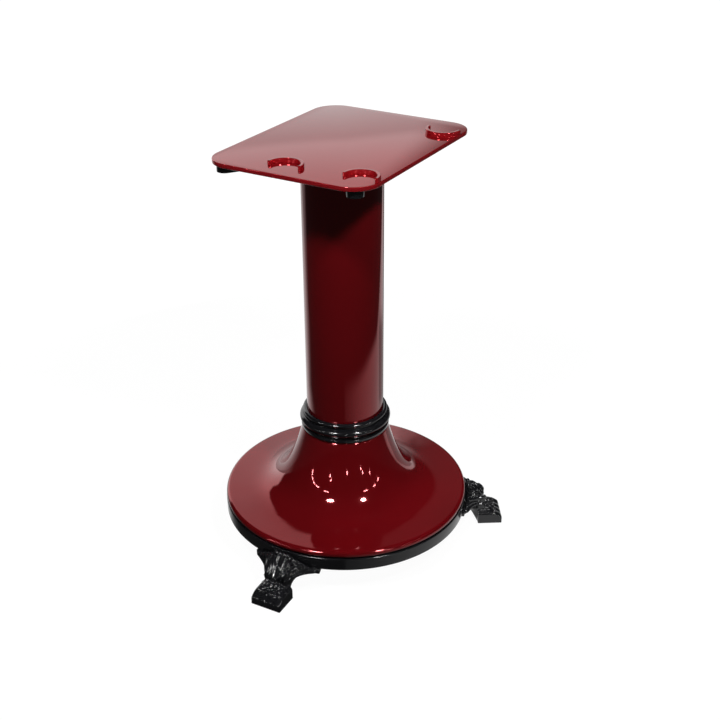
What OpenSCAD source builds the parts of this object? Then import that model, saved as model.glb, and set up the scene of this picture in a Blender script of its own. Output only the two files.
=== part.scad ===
// Pedestal stand for a hand-cranked meat slicer.
// A flared base on three paw feet carries a tube column and an offset top plate.
// The origin is on the floor, at the middle of the footprint. The front is -Y.

/* [Overall] */
// Height from the floor to the top face of the plate
stand_h = 803; // [700:1:900]
// Outer diameter of the black ring under the flared base
base_d = 492; // [440:1:540]
// Turn of the base under the plate, against the clock seen from above
base_turn = 2.5; // [0:0.5:4]

/* [Top plate] */
// Width of the plate, left to right
plate_w = 330; // [300:1:380]
// Depth of the plate, front to back
plate_l = 422; // [390:1:470]
// Thickness of the plate
plate_t = 8; // [7:0.5:12]
// Radius of the plate's corners in plan
plate_corner_r = 50; // [42:1:60]
// Chamfer along the plate's top and bottom edges
plate_chamfer = 0.8; // [0.3:0.1:1.5]
// Distance of the plate's middle to the left of the column axis
plate_left = 18; // [5:1:30]
// Distance of the plate's middle behind the column axis
plate_back = 37; // [20:1:45]

/* [Foot locators] */
// Inner radius of each half ring, which holds one rubber foot of the slicer
locator_r = 28; // [22:0.5:29]
// Wall of the half rings
locator_wall = 6; // [4:0.5:6.5]
// Height of the half rings above the plate
locator_h = 8; // [6:0.5:14]
// Length by which the ends of a half ring run past its middle
locator_tail = 2; // [0:0.5:4]
// Chamfer on the edges of the half rings
locator_chamfer = 0.8; // [0.3:0.1:1.2]
// Distance of the two right-hand locators from the plate's right edge
locator_side = 35; // [35:1:45]
// Distance of the right front locator from the plate's front edge
locator_front = 47; // [42:1:60]
// Distance of the left front locator from the plate's front edge
locator_mid_front = 37; // [36:1:50]
// Distance of the left front locator to the left of the plate's middle
locator_mid_left = 14; // [5:1:30]
// Distance of the back locator from the plate's back edge
locator_back = 67; // [42:1:90]

/* [Top bracket] */
// Radius of the bracket's hub
hub_r = 92; // [88:1:100]
// Thickness of the hub
hub_t = 18; // [17:0.5:24]
// Thickness of the arms
arm_t = 14; // [13:0.5:16]
// Width of the arms
arm_w = 30; // [24:1:34]
// Edge of the plate left outside the ends of the two front arms
arm_edge = 6; // [4:0.5:12]
// Length by which the two back arms are shorter
arm_short = 24; // [15:1:35]

/* [Column] */
// Outer diameter of the column tube
column_d = 152; // [144:1:158]
// Wall of the column tube
column_wall = 4; // [3:0.5:5]
// Thickness of the flanges welded into the ends of the tube
flange_t = 16; // [14:0.5:20]
// Radius of the hole through both flanges
flange_hole_r = 18; // [12:0.5:22]
// Distance of the flange screws in from the bore of the tube
flange_screw_in = 17; // [15:0.5:20]
// Radius of the locating boss under the bottom flange
spigot_r = 30; // [27:0.5:34]
// Depth of the locating boss
spigot_h = 8; // [5:0.5:12]

/* [Collar] */
// Height of the collar
collar_h = 38; // [34:1:44]
// Radius of the collar's large bead
bead_r = 8.2; // [7:0.1:9]
// Length by which the large bead stands out from the tube
bead_out = 14.2; // [12:0.1:16]
// Height of the large bead's middle above the collar's seat
bead_z = 18; // [16:0.5:20]
// Radius of the collar's small top bead
top_bead_r = 4.6; // [4:0.1:5]
// Length by which the small bead stands out from the tube
top_bead_out = 8; // [7:0.1:9]
// Radius of the rounded lip at the collar's foot
lip_r = 3.8; // [3:0.1:4.4]
// Length by which the lip stands out from the tube
lip_out = 11.4; // [10.4:0.1:12]
// Wall of the collar behind the grooves
collar_core = 5; // [4:0.1:6]

/* [Flared base] */
// Height of the flared base above the black ring
bell_h = 158; // [140:1:180]
// Ledge of the neck outside the tube, which the collar sits on
neck_ledge = 9; // [8:0.5:10]
// Rounding at the top of the neck
neck_round = 3; // [1:0.5:4]
// How sharply the flare bends out of the neck
flare_power = 4.4; // [3.6:0.1:5]
// Fall of the flare towards its edge, as a slope
edge_slope = 0.06; // [0.03:0.01:0.1]
// Thickness of the rounded outer edge
edge_t = 15; // [13:0.5:18]
// Distance of the rounded edge in from the black ring's outside
edge_in = 0.5; // [0:0.5:4]
// Ledge of the black ring inside the flare's thick edge
edge_block_in = 4; // [2:0.5:6]
// Wall of the flare
bell_wall = 8; // [6:0.5:9]
// Thickness of the deck that closes the neck
deck_t = 14; // [12:0.5:18]

/* [Base ring] */
// Height of the ring's underside above the floor
ring_z = 56; // [50:1:64]
// Height of the ring
ring_h = 26; // [24:0.5:32]
// Width of the ring, outside to inside
ring_w = 31.5; // [29:0.5:36]
// Chamfer on the ring's edges
ring_chamfer = 1.2; // [0.5:0.1:2]
// Angle of the ring's screws on either side of the middle between two feet
ring_pair_angle = 18; // [14:1:24]

/* [Paw feet] */
// Distance of the toes outside the black ring
toe_out = 78.5; // [74:0.5:90]
// Length of the sole
sole_l = 51; // [48:1:58]
// Half width of the paw
paw_half = 32; // [29:0.5:35]
// Height of the toes
toe_h = 17; // [14:0.5:20]
// Rounding of the toes' top edge
toe_round = 4; // [2:0.5:6]
// Height of the paw's knuckles
knuckle_h = 34; // [30:0.5:37]
// Rounding of the knuckles, seen from the side
knuckle_round = 9; // [7:0.5:12]
// Distance of the knuckles behind the toes
knuckle_back = 33; // [29:0.5:36]
// Chamfer along the sides of the paw
paw_chamfer = 12; // [9:0.5:13]
// Radius of the grooves between the toes
toe_groove_r = 2; // [1:0.1:2.5]
// Distance between the grooves
toe_pitch = 15; // [13:0.5:16]
// Height of the leg's crown above the floor
crown_h = 75; // [72:0.5:78]
// Radius of the crown's arch, seen from the front
crown_r = 44; // [42:0.5:48]
// Radius of the scroll under the crown, seen from the side
scroll_r = 22; // [20:0.5:24]
// Distance of the scroll's middle outside the black ring
scroll_out = 20; // [18:0.5:21]
// Distance of the leg's back inside the black ring's outside, under the wings
root_in = 6; // [4:1:12]
// Distance of the leg's back behind the heel, at calf height
calf_back = 16; // [13:1:19]
// Height of that point above the floor
calf_h = 31; // [26:1:36]
// Radius of the knob on the crown
knob_r = 6; // [4:0.5:7]
// Height of the knob's middle above the scroll
knob_rise = 1; // [0:0.5:3]
// Distance of the knob outside the black ring
knob_out = 27; // [22:0.5:30]
// Half width of the leg at the ankle
ankle_half = 23; // [21:0.5:26]
// Radius of the hollows from the ankle up to the wings
leg_curve_r = 28; // [24:1:32]
// Radius of the hollows on both sides of the leg, seen from above
leg_plan_r = 42; // [38:0.5:46]
// Thickness of the bracket wings under the ring
wing_t = 10; // [9:0.5:12]
// Angle that each wing spans on either side of the leg
wing_angle = 16.5; // [15.5:0.5:19]
// Distance by which the wings stand out from the black ring
wing_out = 3; // [0.5:0.5:4]
// Width of the wings
wing_w = 43; // [39:1:46]
// Angle of each foot bolt on either side of the leg
foot_bolt_angle = 11; // [10.5:0.5:12]

/* [Fasteners] */
// Radius of the larger screws' shanks
big_r = 5; // [5:0.5:5]
// Radius of the smaller screws' shanks
small_r = 4; // [4:0.5:4]
// Depth that screws reach into tapped cast iron or flanges
screw_grip = 14; // [12:0.5:15]
// Depth that the plate screws reach into the plate
plate_grip = 5.5; // [4:0.5:6]
// Metal above the ring screws in the flare's thick edge
edge_cover = 5; // [3:0.5:6]

/* [Hidden] */
$fn = 96;

// Clearances: between turned fits, in screw holes and round tapped threads
fit_gap = 0.3;
hole_gap = 0.5;
thread_gap = 0.3;
tap_extra = 2;
// A cut runs this far past the face that it opens
past = 1;

// Standard head and washer sizes for the two screw sizes
big_head_af = 17;
big_head_h = 6.4;
big_washer_r = 10;
big_washer_t = 2;
cap_head_r = 8;
cap_head_h = 10;
cap_key_af = 8;
cap_key_depth = 5;
small_cap_head_r = 6.5;
small_cap_head_h = 8;
small_cap_key_af = 6;
small_cap_key_depth = 4;
cap_gap = 0.7;

// Heights, from the floor up
ring_top = ring_z + ring_h;
neck_z = ring_top + bell_h;
plate_z = stand_h - plate_t;
column_top = plate_z - hub_t;
deck_z = neck_z - deck_t;

// Radii about the column axis
base_r = base_d / 2;
column_r = column_d / 2;
bore_r = column_r - column_wall;
neck_r = column_r + neck_ledge;
flange_r = bore_r - fit_gap;
flange_screw_r = bore_r - flange_screw_in;
edge_r = base_r - edge_in;
edge_round = edge_t / 2;
flare_r = edge_r - edge_round;
ring_in_r = base_r - ring_w;
ring_hole_r = base_r - ring_w / 2;
edge_block_r = ring_in_r + edge_block_in;

// The feet: one in front, the others a third of a turn to each side
foot_angles = [for (a = [-90, 30, 150]) a + base_turn];
toe_r = base_r + toe_out;
heel_r = toe_r - sole_l;
knuckle = [toe_r - knuckle_back, knuckle_h - knuckle_round];
toe_tip = [toe_r - toe_round, toe_h - toe_round];
paw_slope = atan2(toe_tip[1] - knuckle[1], toe_tip[0] - knuckle[0])
    - asin((knuckle_round - toe_round) / norm(toe_tip - knuckle));
paw_normal = [-sin(paw_slope), cos(paw_slope)];
crown_z = crown_h - crown_r;
scroll_x = base_r + scroll_out;
scroll_z = crown_h - scroll_r;
scroll_fall = 30;
knob_x = base_r + knob_out;
knob_z = scroll_z + sqrt(scroll_r * scroll_r - pow(knob_x - scroll_x, 2)) + knob_rise;
wing_z = ring_z - wing_t;
leg_bend_z = wing_z - leg_curve_r;
wing_r = base_r + wing_out;
fan_half = ankle_half + leg_curve_r;
leg_plan_x = base_r + leg_plan_r - wing_out;
toe_reach = norm([toe_r, paw_half]);
toe_skew = atan2(paw_half, toe_r);
ring_screw_angles = [for (a = foot_angles, s = [-1, 1]) a + 60 + s * ring_pair_angle];
ring_screw_grip = edge_t - edge_cover;
foot_bolt_angles = [for (a = foot_angles, s = [-1, 1]) a + s * foot_bolt_angle];
column_bolt_angles = [45, 135, 225, 315];

// The column axis from the middle of the footprint, which runs from the toes
// of one back foot to those of the other and from the front toes to the plate's back edge
axis_x = -toe_reach * (cos(foot_angles[1] - toe_skew) + cos(foot_angles[2] + toe_skew)) / 2;
axis_y = -(toe_reach * sin(foot_angles[0] - toe_skew) + plate_back + plate_l / 2) / 2;
plate_x = axis_x - plate_left;
plate_y = axis_y + plate_back;

// Arms of the top bracket, towards the plate's rounded corners:
// [direction, distance from the plate's middle to the middle of the arm's round end]
arm_corner = [plate_w / 2 - plate_corner_r, plate_l / 2 - plate_corner_r];
arm_angle = atan2(arm_corner[1], arm_corner[0]);
arm_long = norm(arm_corner) + plate_corner_r - arm_edge - arm_w / 2;
arms = [
    [180 + arm_angle, arm_long],
    [-arm_angle, arm_long],
    [arm_angle, arm_long - arm_short],
    [180 - arm_angle, arm_long - arm_short]
];
plate_screw_points = [for (a = arms) a[1] * [cos(a[0]), sin(a[0])]];

// The flare: its height and slope at a radius, and a point at a depth below its surface
flare_steps = 28;
flare_span = flare_r - neck_r;
flare_foot = ring_top + edge_t;
flare_drop = neck_z - flare_foot - edge_slope * flare_span;
function flare_u(r) = 1 - (r - neck_r) / flare_span;
function flare_z(r) = flare_foot + edge_slope * (flare_r - r)
    + flare_drop * pow(flare_u(r), flare_power);
function flare_fall(r) = edge_slope
    + flare_drop * flare_power / flare_span * pow(flare_u(r), flare_power - 1);
function flare_in(r, t) = [r - t * flare_fall(r) / sqrt(1 + pow(flare_fall(r), 2)),
    flare_z(r) - t / sqrt(1 + pow(flare_fall(r), 2))];
// A value on the way from a to b that slows down as u goes from 0 to 1
function eased(a, b, u) = a + (b - a) * u * (2 - u);

// Points on a circle of radius r about [x, y], from angle a0 to a1 in n steps
function arc(x, y, r, a0, a1, n) = [for (i = [0:n]) let (a = a0 + (a1 - a0) * i / n)
    [x + r * cos(a), y + r * sin(a)]];

module on_axis() translate([axis_x, axis_y, 0]) children();

module around(angles, r) for (a = angles) rotate([0, 0, a]) translate([r, 0, 0]) children();

module at_plate_screws() translate([plate_x, plate_y, 0]) for (p = plate_screw_points)
    translate([p[0], p[1], 0]) children();

// Screws stand with their shank up and the face under the head at z = 0
module hex_screw(r, head_af, head_h, length) {
    translate([0, 0, -head_h]) cylinder(r = head_af / 2 / cos(30), h = head_h, $fn = 6);
    cylinder(r = r, h = length, $fn = 48);
}

module cap_screw(r, head_r, head_h, key_af, key_depth, length) {
    difference() {
        translate([0, 0, -head_h]) cylinder(r = head_r, h = head_h, $fn = 48);
        translate([0, 0, -head_h - past])
            cylinder(r = key_af / 2 / cos(30), h = key_depth + past, $fn = 6);
    }
    cylinder(r = r, h = length, $fn = 48);
}

module washer(hole_r, outer_r, t) difference() {
    cylinder(r = outer_r, h = t, $fn = 48);
    translate([0, 0, -past]) cylinder(r = hole_r, h = t + 2 * past, $fn = 48);
}

// A disc or ring turned from a bar with small chamfers on its outer edges
module turned_ring(r_in, r_out, h, c) rotate_extrude() polygon([
    [r_in, 0], [r_out - c, 0], [r_out, c], [r_out, h - c], [r_out - c, h], [r_in, h]
]);

module rounded_plan(w, l, r) {
    square([w - 2 * r, l], center = true);
    square([w, l - 2 * r], center = true);
    for (x = [-1, 1], y = [-1, 1]) translate([x * (w / 2 - r), y * (l / 2 - r)]) circle(r);
}

module top_plate() color([0.55, 0.05, 0.06]) difference() {
    translate([plate_x, plate_y, plate_z]) {
        translate([0, 0, plate_chamfer]) linear_extrude(plate_t - 2 * plate_chamfer)
            rounded_plan(plate_w, plate_l, plate_corner_r);
        linear_extrude(plate_t)
            rounded_plan(plate_w - 2 * plate_chamfer, plate_l - 2 * plate_chamfer,
                plate_corner_r - plate_chamfer);
    }
    at_plate_screws() translate([0, 0, plate_z - past])
        cylinder(r = small_r + thread_gap, h = plate_grip + past + hole_gap, $fn = 48);
}

// Half ring that stands on the plate and opens towards -Y, or +Y when turned
module locator(x, y, turn) color([0.55, 0.05, 0.06])
    translate([plate_x + x, plate_y + y, stand_h]) rotate([0, 0, turn]) difference() {
        rotate_extrude() polygon([
            [locator_r, 0], [locator_r + locator_wall, 0],
            [locator_r + locator_wall, locator_h - locator_chamfer],
            [locator_r + locator_wall - locator_chamfer, locator_h],
            [locator_r + locator_chamfer, locator_h],
            [locator_r, locator_h - locator_chamfer]
        ]);
        translate([-plate_w / 2, -plate_l - locator_tail, -past])
            cube([plate_w, plate_l, locator_h + 2 * past]);
    }

module locator_front_left() locator(-locator_mid_left, locator_mid_front - plate_l / 2, 0);
module locator_front_right() locator(plate_w / 2 - locator_side, locator_front - plate_l / 2, 0);
module locator_back_right() locator(plate_w / 2 - locator_side, plate_l / 2 - locator_back, 180);

module top_bracket() color([0.06, 0.06, 0.065]) difference() {
    union() {
        on_axis() translate([0, 0, column_top]) cylinder(r = hub_r, h = hub_t);
        translate([plate_x, plate_y, plate_z - arm_t]) linear_extrude(arm_t) for (a = arms)
            rotate(a[0]) {
                translate([0, -arm_w / 2]) square([a[1], arm_w]);
                translate([a[1], 0]) circle(arm_w / 2);
            }
    }
    at_plate_screws() {
        translate([0, 0, plate_z - arm_t - past])
            cylinder(r = small_r + hole_gap, h = arm_t + 2 * past, $fn = 48);
        translate([0, 0, plate_z - arm_t - past])
            cylinder(r = small_cap_head_r + cap_gap, h = small_cap_head_h + cap_gap + past, $fn = 48);
    }
    on_axis() around(column_bolt_angles, flange_screw_r) {
        translate([0, 0, column_top - past])
            cylinder(r = big_r + hole_gap, h = hub_t + 2 * past, $fn = 48);
        translate([0, 0, plate_z - cap_head_h - cap_gap])
            cylinder(r = cap_head_r + cap_gap, h = cap_head_h + cap_gap + past, $fn = 48);
    }
}

// Cap screws go up from counterbores in the arms into the plate
module plate_screws() color([0.25, 0.25, 0.26]) at_plate_screws()
    translate([0, 0, plate_z - arm_t + small_cap_head_h + cap_gap])
        cap_screw(small_r, small_cap_head_r, small_cap_head_h, small_cap_key_af, small_cap_key_depth,
            arm_t - small_cap_head_h - cap_gap + plate_grip);

// Cap screws go down from the hub's counterbores into the head flange
module bracket_screws() color([0.25, 0.25, 0.26]) on_axis() around(column_bolt_angles, flange_screw_r)
    translate([0, 0, plate_z - cap_head_h - cap_gap]) rotate([180, 0, 0])
        cap_screw(big_r, cap_head_r, cap_head_h, cap_key_af, cap_key_depth,
            hub_t - cap_head_h - cap_gap + screw_grip - tap_extra);

module column_tube() color([0.45, 0.04, 0.05]) on_axis() translate([0, 0, neck_z]) difference() {
    cylinder(r = column_r, h = column_top - neck_z);
    translate([0, 0, -past]) cylinder(r = bore_r, h = column_top - neck_z + 2 * past);
}

module flange_holes(h) {
    translate([0, 0, -past]) cylinder(r = flange_hole_r, h = h + 2 * past);
    around(column_bolt_angles, flange_screw_r) translate([0, 0, -past])
        cylinder(r = big_r + thread_gap, h = h + 2 * past, $fn = 48);
}

module column_head_flange() color([0.35, 0.35, 0.36]) on_axis() translate([0, 0, column_top - flange_t])
    difference() {
        cylinder(r = flange_r, h = flange_t);
        flange_holes(flange_t);
    }

module column_foot_flange() color([0.35, 0.35, 0.36]) on_axis() difference() {
    union() {
        translate([0, 0, neck_z]) cylinder(r = flange_r, h = flange_t);
        translate([0, 0, neck_z - spigot_h]) cylinder(r = spigot_r, h = spigot_h);
    }
    translate([0, 0, neck_z - spigot_h]) flange_holes(flange_t + spigot_h);
}

module collar_outline() difference() {
    union() {
        square([column_r + collar_core, collar_h - top_bead_r]);
        square([column_r + lip_out, lip_r]);
        square([column_r + lip_out - lip_r, 2 * lip_r]);
        translate([column_r + lip_out - lip_r, lip_r]) circle(lip_r, $fn = 48);
        translate([column_r + bead_out - bead_r, bead_z]) circle(bead_r, $fn = 64);
        translate([column_r + top_bead_out - top_bead_r, collar_h - top_bead_r])
            circle(top_bead_r, $fn = 48);
    }
    translate([0, -past]) square([column_r + fit_gap, collar_h + 2 * past]);
}

module collar() color([0.05, 0.05, 0.055]) on_axis() translate([0, 0, neck_z]) rotate_extrude()
    collar_outline();

module bell_solid() rotate_extrude() polygon(concat(
    [[0, ring_top], [edge_r - edge_round, ring_top]],
    arc(edge_r - edge_round, ring_top + edge_round, edge_round, -90, 90, 12),
    [for (i = [1:flare_steps - 1]) let (r = eased(flare_r, neck_r, i / flare_steps))
        if (flare_z(r) < neck_z - neck_round) [r, flare_z(r)]],
    arc(neck_r - neck_round, neck_z - neck_round, neck_round, 0, 90, 6),
    [[0, neck_z]]
));

module bell_hollow() rotate_extrude() intersection() {
    polygon(concat(
        [[0, ring_top - past], [edge_block_r, ring_top - past],
            [edge_block_r, flare_z(edge_block_r) - bell_wall]],
        [for (i = [1:flare_steps]) flare_in(eased(edge_block_r, neck_r, i / flare_steps), bell_wall)],
        [[0, neck_z]]
    ));
    square([base_r, deck_z]);
}

module flared_base() color([0.5, 0.04, 0.05]) on_axis() difference() {
    bell_solid();
    bell_hollow();
    translate([0, 0, deck_z - past]) cylinder(r = spigot_r + fit_gap, h = deck_t + 2 * past);
    around(column_bolt_angles, flange_screw_r) translate([0, 0, deck_z - past])
        cylinder(r = big_r + hole_gap, h = deck_t + 2 * past, $fn = 48);
    around(ring_screw_angles, ring_hole_r) translate([0, 0, ring_top - past])
        cylinder(r = small_r + thread_gap, h = ring_screw_grip + past + hole_gap, $fn = 48);
}

module column_bolts() color([0.6, 0.6, 0.6]) on_axis() around(column_bolt_angles, flange_screw_r)
    translate([0, 0, deck_z - big_washer_t])
        hex_screw(big_r, big_head_af, big_head_h, big_washer_t + deck_t + screw_grip - tap_extra);

module column_bolt_washers() color([0.65, 0.65, 0.65]) on_axis() around(column_bolt_angles, flange_screw_r)
    translate([0, 0, deck_z - big_washer_t]) washer(big_r + fit_gap, big_washer_r, big_washer_t);

// Screws of the ring go up through counterbores into the thick edge of the flared base
module base_ring() color([0.06, 0.06, 0.065]) on_axis() translate([0, 0, ring_z]) difference() {
    turned_ring(ring_in_r, base_r, ring_h, ring_chamfer);
    around(ring_screw_angles, ring_hole_r) {
        translate([0, 0, -past]) cylinder(r = small_r + hole_gap, h = ring_h + 2 * past, $fn = 48);
        translate([0, 0, -past])
            cylinder(r = small_cap_head_r + cap_gap, h = small_cap_head_h + cap_gap + past, $fn = 48);
    }
    around(foot_bolt_angles, ring_hole_r) translate([0, 0, -past])
        cylinder(r = big_r + thread_gap, h = screw_grip + tap_extra + past, $fn = 48);
}

module ring_screws() color([0.25, 0.25, 0.26]) on_axis() around(ring_screw_angles, ring_hole_r)
    translate([0, 0, ring_z + small_cap_head_h + cap_gap])
        cap_screw(small_r, small_cap_head_r, small_cap_head_h, small_cap_key_af, small_cap_key_depth,
            ring_h - small_cap_head_h - cap_gap + ring_screw_grip);

// Outline of the leg from the side: x outwards from the column axis, y up
module leg_side() {
    translate([scroll_x, scroll_z]) circle(scroll_r);
    polygon([
        [heel_r, 0], knuckle - [0, knuckle[1]], knuckle,
        [scroll_x, scroll_z] + scroll_r * [cos(scroll_fall), -sin(scroll_fall)],
        [scroll_x, scroll_z], [scroll_x, crown_h], [base_r - past, crown_h],
        [base_r - root_in, wing_z], [heel_r - calf_back, calf_h]
    ]);
}

// Outline of the leg from the front: an arch over hollow sides down to the ankle
module leg_front() difference() {
    union() {
        translate([0, crown_z]) circle(crown_r);
        translate([-fan_half, 0]) square([2 * fan_half, crown_z]);
    }
    for (s = [-1, 1]) translate([s * fan_half, leg_bend_z]) circle(leg_curve_r);
    for (s = [-1, 1]) translate([s * (ankle_half + fan_half) - fan_half, -past])
        square([2 * fan_half, leg_bend_z + past]);
}

// Outline of the leg from above: hollow sides that widen towards the ring
module leg_plan() difference() {
    translate([0, -fan_half]) square([toe_r, 2 * fan_half]);
    for (s = [-1, 1]) translate([leg_plan_x, s * (ankle_half + leg_plan_r)]) circle(leg_plan_r);
    for (s = [-1, 1]) translate([leg_plan_x, s * (ankle_half + fan_half) - fan_half])
        square([toe_r, 2 * fan_half]);
}

// Outline of the paw from the side: rounded knuckles, sloping toes
module paw_side() {
    translate(knuckle) circle(knuckle_round, $fn = 64);
    translate(toe_tip) circle(toe_round, $fn = 64);
    polygon([
        [heel_r, 0], [toe_r, 0], [toe_r, toe_tip[1]], toe_tip, toe_tip + toe_round * paw_normal,
        knuckle + knuckle_round * paw_normal, knuckle, [knuckle[0], knuckle_h], [heel_r, knuckle_h]
    ]);
}

module paw_front() polygon([
    [-paw_half, 0], [paw_half, 0], [paw_half, knuckle_h - paw_chamfer], [paw_half - paw_chamfer, knuckle_h],
    [paw_chamfer - paw_half, knuckle_h], [-paw_half, knuckle_h - paw_chamfer]
]);

// A solid with the given outlines from the side and from the front
module carved(half) intersection() {
    rotate([90, 0, 0]) translate([0, 0, -half]) linear_extrude(2 * half) children(0);
    rotate([90, 0, 90]) linear_extrude(toe_r) children(1);
}

// The leg under its crown and knob, cut round to fit the ring's outside
module leg() difference() {
    union() {
        intersection() {
            carved(fan_half) {
                leg_side();
                leg_front();
            }
            linear_extrude(crown_h) leg_plan();
        }
        translate([knob_x, 0, knob_z]) sphere(r = knob_r);
    }
    translate([0, 0, ring_z - wing_t / 2]) cylinder(r = base_r + fit_gap, h = crown_h);
}

// One paw foot, pointing out along +X from the column axis
module paw_foot() difference() {
    union() {
        translate([0, 0, wing_z]) rotate([0, 0, -wing_angle])
            rotate_extrude(angle = 2 * wing_angle) translate([wing_r - wing_w, 0]) square([wing_w, wing_t]);
        leg();
        carved(paw_half) {
            paw_side();
            paw_front();
        }
    }
    around([-foot_bolt_angle, foot_bolt_angle], ring_hole_r) translate([0, 0, wing_z - past])
        cylinder(r = big_r + hole_gap, h = wing_t + 2 * past, $fn = 48);
    for (y = [-toe_pitch, 0, toe_pitch])
        translate([knuckle[0] + knuckle_round * paw_normal[0], y, knuckle[1] + knuckle_round * paw_normal[1]])
            rotate([0, 90 - paw_slope, 0]) cylinder(r = toe_groove_r, h = knuckle_back + past, $fn = 48);
}

module foot_front() color([0.05, 0.05, 0.055]) on_axis() rotate([0, 0, foot_angles[0]]) paw_foot();
module foot_right() color([0.05, 0.05, 0.055]) on_axis() rotate([0, 0, foot_angles[1]]) paw_foot();
module foot_left() color([0.05, 0.05, 0.055]) on_axis() rotate([0, 0, foot_angles[2]]) paw_foot();

module foot_bolts() color([0.6, 0.6, 0.6]) on_axis() around(foot_bolt_angles, ring_hole_r)
    translate([0, 0, wing_z - big_washer_t])
        hex_screw(big_r, big_head_af, big_head_h, big_washer_t + wing_t + screw_grip);

module foot_bolt_washers() color([0.65, 0.65, 0.65]) on_axis() around(foot_bolt_angles, ring_hole_r)
    translate([0, 0, wing_z - big_washer_t]) washer(big_r + fit_gap, big_washer_r, big_washer_t);

top_plate();
locator_front_left();
locator_front_right();
locator_back_right();
top_bracket();
plate_screws();
bracket_screws();
column_tube();
column_head_flange();
column_foot_flange();
collar();
flared_base();
column_bolts();
column_bolt_washers();
base_ring();
ring_screws();
foot_front();
foot_right();
foot_left();
foot_bolts();
foot_bolt_washers();
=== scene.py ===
import math

import bmesh
import bpy
from mathutils import Matrix, Vector
from mathutils.bvhtree import BVHTree


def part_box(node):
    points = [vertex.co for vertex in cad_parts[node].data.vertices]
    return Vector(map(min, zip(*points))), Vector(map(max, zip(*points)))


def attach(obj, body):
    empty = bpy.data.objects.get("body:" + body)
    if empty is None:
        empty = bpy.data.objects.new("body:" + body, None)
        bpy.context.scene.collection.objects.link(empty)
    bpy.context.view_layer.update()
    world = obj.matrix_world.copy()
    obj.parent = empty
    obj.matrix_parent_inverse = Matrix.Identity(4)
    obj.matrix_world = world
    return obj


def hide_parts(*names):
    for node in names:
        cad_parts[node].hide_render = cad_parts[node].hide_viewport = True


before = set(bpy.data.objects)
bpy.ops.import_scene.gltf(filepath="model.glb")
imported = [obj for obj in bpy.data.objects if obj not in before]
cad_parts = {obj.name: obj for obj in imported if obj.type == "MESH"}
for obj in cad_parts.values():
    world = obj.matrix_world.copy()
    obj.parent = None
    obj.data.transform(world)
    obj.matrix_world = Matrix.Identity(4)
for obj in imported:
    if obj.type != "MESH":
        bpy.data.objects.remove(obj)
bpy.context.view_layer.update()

mm = 0.001
mergeGap = 1e-6  # points closer than this, in metres, are one point
tubeLow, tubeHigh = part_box("column_tube")
axisX = (tubeLow.x + tubeHigh.x) / 2
axisY = (tubeLow.y + tubeHigh.y) / 2
tubeR = (tubeHigh.x - tubeLow.x) / 2 / mm
print("frame loaded, column axis at", round(axisX, 4), round(axisY, 4))


# Nodes that materials, shapes and surroundings share

def addNode(tree, kind, **values):
    node = tree.nodes.new(kind)
    for name, value in values.items():
        setattr(node, name, value)
    return node


def mathNode(tree, operation, first, second=None):
    node = addNode(tree, "ShaderNodeMath", operation=operation)
    for socket, value in zip(node.inputs, (first, second)):
        if value is None:
            continue
        if isinstance(value, (int, float)):
            socket.default_value = value
        else:
            tree.links.new(value, socket)
    return node.outputs["Value"]


def plus(tree, first, second):
    return mathNode(tree, "ADD", first, second)


def minus(tree, first, second):
    return mathNode(tree, "SUBTRACT", first, second)


def times(tree, first, *others):
    for other in others:
        first = mathNode(tree, "MULTIPLY", first, other)
    return first


def dimmed(tree, value, share):
    # 1 where the value is 0, and less by the share where it is 1
    return minus(tree, 1.0, times(tree, value, share))


def spread(tree, value, low, high, fromLow=0.3, fromHigh=0.7):
    mapped = addNode(tree, "ShaderNodeMapRange")
    mapped.inputs["From Min"].default_value = fromLow
    mapped.inputs["From Max"].default_value = fromHigh
    mapped.inputs["To Min"].default_value = low
    mapped.inputs["To Max"].default_value = high
    tree.links.new(value, mapped.inputs["Value"])
    return mapped.outputs["Result"]


def ramp(tree, value, low, high):
    # 0 at low, 1 at high, eased between them
    node = addNode(tree, "ShaderNodeMapRange", interpolation_type="SMOOTHSTEP")
    node.inputs["From Min"].default_value = low
    node.inputs["From Max"].default_value = high
    tree.links.new(value, node.inputs["Value"])
    return node.outputs["Result"]


def noiseTexture(tree, scale, detail=2.0, roughness=0.5, place=None):
    if place is None:
        place = addNode(tree, "ShaderNodeTexCoord").outputs["Object"]
    noise = addNode(tree, "ShaderNodeTexNoise")
    noise.inputs["Scale"].default_value = scale
    noise.inputs["Detail"].default_value = detail
    noise.inputs["Roughness"].default_value = roughness
    tree.links.new(place, noise.inputs["Vector"])
    return noise.outputs["Fac"]


# Materials

def bumped(tree, height, distance, below=None):
    bump = addNode(tree, "ShaderNodeBump")
    bump.inputs["Strength"].default_value = 1.0
    bump.inputs["Distance"].default_value = distance
    tree.links.new(height, bump.inputs["Height"])
    if below:
        tree.links.new(below, bump.inputs["Normal"])
    return bump.outputs["Normal"]


def blended(tree, share, first, second):
    # of a colour mix, inputs 6 and 7 and output 2 are the coloured ones
    mix = addNode(tree, "ShaderNodeMix", data_type="RGBA")
    for socket, colour in ((mix.inputs[6], first), (mix.inputs[7], second)):
        if isinstance(colour, tuple):
            socket.default_value = (*colour, 1)
        else:
            tree.links.new(colour, socket)
    tree.links.new(share, mix.inputs[0])
    return mix.outputs[2]


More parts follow.
